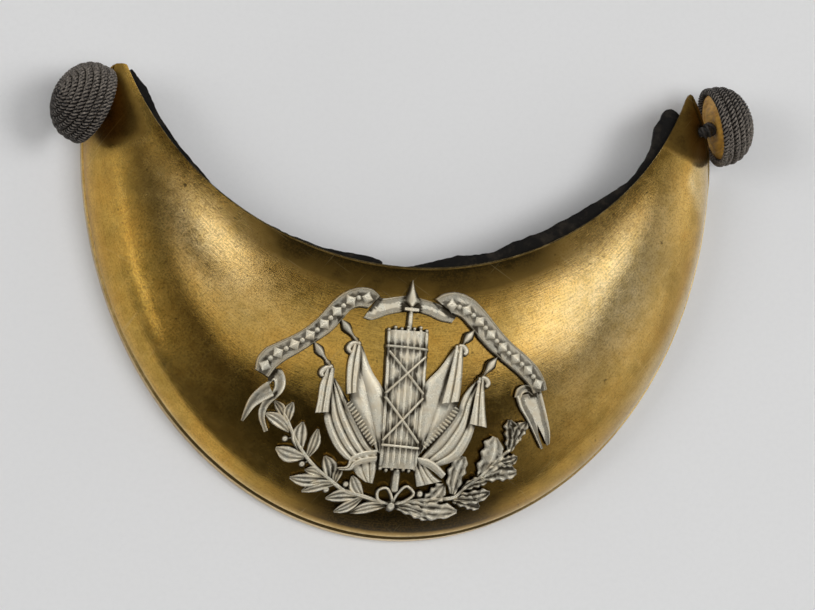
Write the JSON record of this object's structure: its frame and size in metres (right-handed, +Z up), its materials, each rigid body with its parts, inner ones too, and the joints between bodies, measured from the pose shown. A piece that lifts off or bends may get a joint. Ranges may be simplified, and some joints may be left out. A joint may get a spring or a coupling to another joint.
{
  "type": "gorget",
  "caption": "Crescent of domed brass worn at the neck, with a raised silver trophy of fasces, flags and wreath, a dark lining and a cord-covered button at each horn.",
  "frame": {"origin": "middle of the bounding box on the plane that the outer rim lies on", "axes": "+X towards the right horn as seen from the front of the plate, +Y from the outer rim towards the horns, +Z up out of the domed face"},
  "size_m": [0.1616, 0.1068, 0.0253],
  "materials": {
    "plate_brass": "worn polished brass, warm gold with brown patina",
    "lining_leather": "matt black, ragged at the neck edge",
    "emblem_silver": "cast silver with dark tarnish in the recesses",
    "button_cord": "dark twisted cord wound in a spiral",
    "button_wood": "bare tan wood",
    "button_thread": "dark thread"
  },
  "bodies": {
    "root": {"plate": "plate_brass", "lining": "lining_leather", "emblem": "emblem_silver", "button_left_cover": "button_cord", "button_left_mould": "button_wood", "button_left_shank": "button_thread", "button_right_cover": "button_cord", "button_right_mould": "button_wood", "button_right_shank": "button_thread"}
  },
  "joints": []
}
